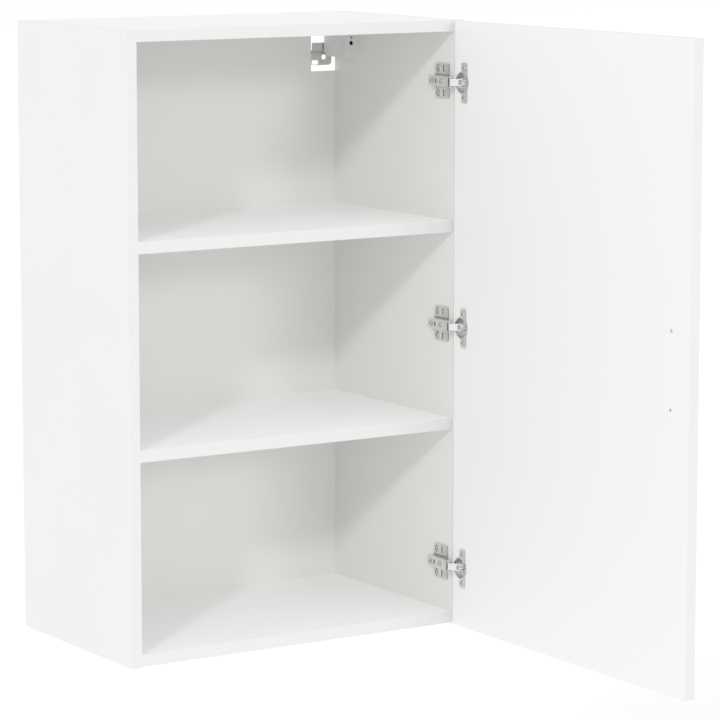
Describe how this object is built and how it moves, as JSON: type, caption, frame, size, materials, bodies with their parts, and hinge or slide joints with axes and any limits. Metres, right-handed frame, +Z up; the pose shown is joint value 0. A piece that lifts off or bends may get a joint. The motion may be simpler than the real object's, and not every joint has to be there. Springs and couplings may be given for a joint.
{
  "type": "locker cabinet",
  "caption": "Wall-hung storage cabinet with a full-height side-hinged overlay door, open shelving inside, concealed cup hinges and hidden wall hangers.",
  "frame": {"origin": "centre of the cabinet's rear face, on the wall plane, half way up and half way across", "axes": "+X to the right as seen from the front, +Y into the wall, +Z up; the door is stored standing open at 90 degrees"},
  "size_m": [0.5, 0.8005, 0.8],
  "materials": {
    "melamine_board": "satin white melamine on particleboard, banded edges",
    "back_board": "thin white-faced hardboard, matt",
    "dowel_wood": "raw beech",
    "joint_steel": "zinc plated",
    "hinge_steel": "satin nickel plated",
    "cup_steel": "satin nickel plated",
    "pin_steel": "ground steel",
    "screw_steel": "nickel plated, cross recess",
    "hanger_shell": "moulded white plastic",
    "hanger_steel": "zinc plated"
  },
  "bodies": {
    "cabinet": {"back_panel": "back_board", "back_panel_nails": "joint_steel", "bottom_panel": "melamine_board", "cam_bolts": "joint_steel", "cam_locks": "joint_steel", "hanger_adjusting_screws": "screw_steel", "hanger_hook_left": "hanger_steel", "hanger_hook_right": "hanger_steel", "hanger_housing_left": "hanger_shell", "hanger_housing_right": "hanger_shell", "hinge_arm_adjusting_screws": "screw_steel", "hinge_arm_bottom": "hinge_steel", "hinge_arm_fixing_screws": "screw_steel", "hinge_arm_inner_pins": "pin_steel", "hinge_arm_middle": "hinge_steel", "hinge_arm_outer_pins": "pin_steel", "hinge_arm_top": "hinge_steel", "hinge_mounting_plate_bottom": "hinge_steel", "hinge_mounting_plate_middle": "hinge_steel", "hinge_mounting_plate_top": "hinge_steel", "hinge_plate_screws": "screw_steel", "lower_shelf": "melamine_board", "side_panel_left": "melamine_board", "side_panel_right": "melamine_board", "top_panel": "melamine_board", "upper_shelf": "melamine_board", "wall_plate_left": "hanger_steel", "wall_plate_right": "hanger_steel", "wooden_dowels": "dowel_wood"},
    "inner_links": {"hinge_inner_link_top": "hinge_steel", "hinge_inner_link_middle": "hinge_steel", "hinge_inner_link_bottom": "hinge_steel"},
    "outer_links": {"hinge_outer_link_top": "hinge_steel", "hinge_outer_link_middle": "hinge_steel", "hinge_outer_link_bottom": "hinge_steel", "hinge_cup_outer_studs": "pin_steel"},
    "door": {"door_panel": "melamine_board", "hinge_cup_top": "cup_steel", "hinge_cup_middle": "cup_steel", "hinge_cup_bottom": "cup_steel", "hinge_cup_inner_pins": "pin_steel", "hinge_cup_screws": "screw_steel"}
  },
  "joints": [
    {"name": "inner_link_pivot", "type": "hinge", "parent": "cabinet", "child": "inner_links", "pos_m": [0.22684, -0.2943, 0], "axis": [0, 0, 1], "range_deg": [0, 52.31]},
    {"name": "door_hinge", "type": "hinge", "parent": "inner_links", "child": "door", "pos_m": [0.23325, -0.30906, 0], "axis": [0, 0, 1], "range_deg": [-142.37, 0.05]},
    {"name": "outer_link_pivot", "type": "hinge", "parent": "cabinet", "child": "outer_links", "pos_m": [0.22325, -0.30245, 0], "axis": [0, 0, 1], "range_deg": [-0.05, 59.95]}
  ],
  "couplings": [
    {"joint": "door_hinge", "follows": "inner_link_pivot", "ratio": -2.7203},
    {"joint": "outer_link_pivot", "follows": "inner_link_pivot", "ratio": 1.145}
  ]
}
